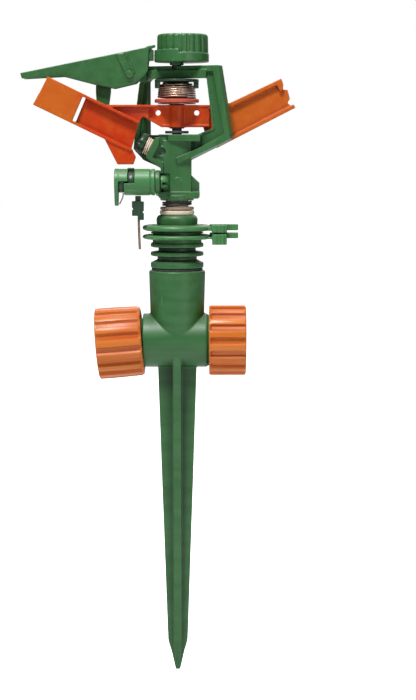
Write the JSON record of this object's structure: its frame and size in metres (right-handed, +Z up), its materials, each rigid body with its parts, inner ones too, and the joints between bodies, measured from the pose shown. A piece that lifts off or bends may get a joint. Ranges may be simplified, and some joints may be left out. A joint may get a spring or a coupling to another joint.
{
  "type": "impact sprinkler on a ground spike",
  "caption": "Garden impulse sprinkler on a ground spike: a swivelling head with a sprung striking arm, part-circle trip lever, jet deflector and a tee with hose couplings.",
  "frame": {"origin": "tip of the ground spike, on the axis that the head turns about", "axes": "+Z up along the spike and the head's axis, +X towards the plugged end of the tee, -X towards the hose inlet, -Y the side with the trip lever"},
  "size_m": [0.1338, 0.035, 0.3171],
  "materials": {
    "green": "satin",
    "bright_green": "satin",
    "dark_green": "satin",
    "orange": "satin",
    "red": "satin",
    "black_rubber": "matte",
    "cream": "satin",
    "fibre": "matte",
    "steel": "drawn wire",
    "bronze": "drawn wire"
  },
  "bodies": {
    "stand": {"spike_tee": "green", "base_nipple": "green", "base_seal": "black_rubber", "bearing_nut": "green"},
    "collar_upper": {"trip_collar_upper": "bright_green"},
    "collar_lower": {"trip_collar_lower": "bright_green"},
    "coupling": {"inlet_coupling": "orange", "inlet_washer": "black_rubber"},
    "cap": {"end_cap": "orange", "end_cap_seal": "black_rubber"},
    "head": {"head_body": "green", "bearing_tube": "cream", "spindle_seal": "black_rubber", "nylon_washer": "cream", "fibre_washer": "fibre", "thrust_spring": "steel", "nozzle_insert": "cream", "nozzle_cap": "dark_green", "arm_shaft": "steel", "arm_washer": "black_rubber", "spring_retainer": "dark_green", "deflector_pin": "dark_green", "arm_spring": "steel"},
    "arm": {"impact_arm": "orange", "arm_bushing": "black_rubber", "seat_washer": "steel", "spring_seat": "red"},
    "knob": {"adjusting_knob": "green"},
    "deflector": {"deflector": "green"},
    "trip": {"trip_drum": "bright_green", "trip_wire_holder": "dark_green", "trip_wire": "bronze", "over_centre_spring": "steel"},
    "lever": {"reversing_lever": "bright_green"}
  },
  "joints": [
    {"name": "head_swivel", "type": "hinge", "parent": "stand", "child": "head", "pos_m": [0, 0, 0.24], "axis": [0, 0, 1], "range_deg": [-200, 125]},
    {"name": "arm_swing", "type": "hinge", "parent": "head", "child": "arm", "pos_m": [0, 0, 0.2773], "axis": [0, 0, 1], "range_deg": [0, 75], "stiffness_Nm_per_rad": 0.02, "springref_deg": -51.57},
    {"name": "knob_turn", "type": "hinge", "parent": "head", "child": "knob", "pos_m": [0, 0, 0.3036], "axis": [0, 0, 1], "range_deg": [0, 58]},
    {"name": "deflector_tilt", "type": "hinge", "parent": "head", "child": "deflector", "pos_m": [-0.023, 0, 0.2979], "axis": [0, -1, 0], "range_deg": [0, 7.6]},
    {"name": "trip_rock", "type": "hinge", "parent": "head", "child": "trip", "pos_m": [-0.0155, -0.009, 0.2459], "axis": [1, 0, 0], "range_deg": [-20, 20]},
    {"name": "lever_rock", "type": "hinge", "parent": "head", "child": "lever", "pos_m": [-0.0292, -0.009, 0.2459], "axis": [1, 0, 0], "range_deg": [-12.5, 12.5]},
    {"name": "collar_turn_upper", "type": "hinge", "parent": "stand", "child": "collar_upper", "pos_m": [0, 0, 0.2234], "axis": [0, 0, 1], "range_deg": [-115, 185]},
    {"name": "collar_turn_lower", "type": "hinge", "parent": "stand", "child": "collar_lower", "pos_m": [0, 0, 0.219], "axis": [0, 0, 1], "range_deg": [-115, 185]},
    {"name": "coupling_spin", "type": "hinge", "parent": "stand", "child": "coupling", "pos_m": [-0.01715, 0, 0.1675], "axis": [-0.9971, 0, -0.0767], "continuous": true},
    {"name": "cap_unscrew", "type": "hinge", "parent": "stand", "child": "cap", "pos_m": [0.0157, 0, 0.1677], "axis": [1, 0, 0], "range_deg": [0, 1080]}
  ],
  "couplings": [
    {"joint": "deflector_tilt", "follows": "knob_turn", "ratio": 0.13},
    {"joint": "lever_rock", "follows": "trip_rock", "ratio": 0.6}
  ]
}
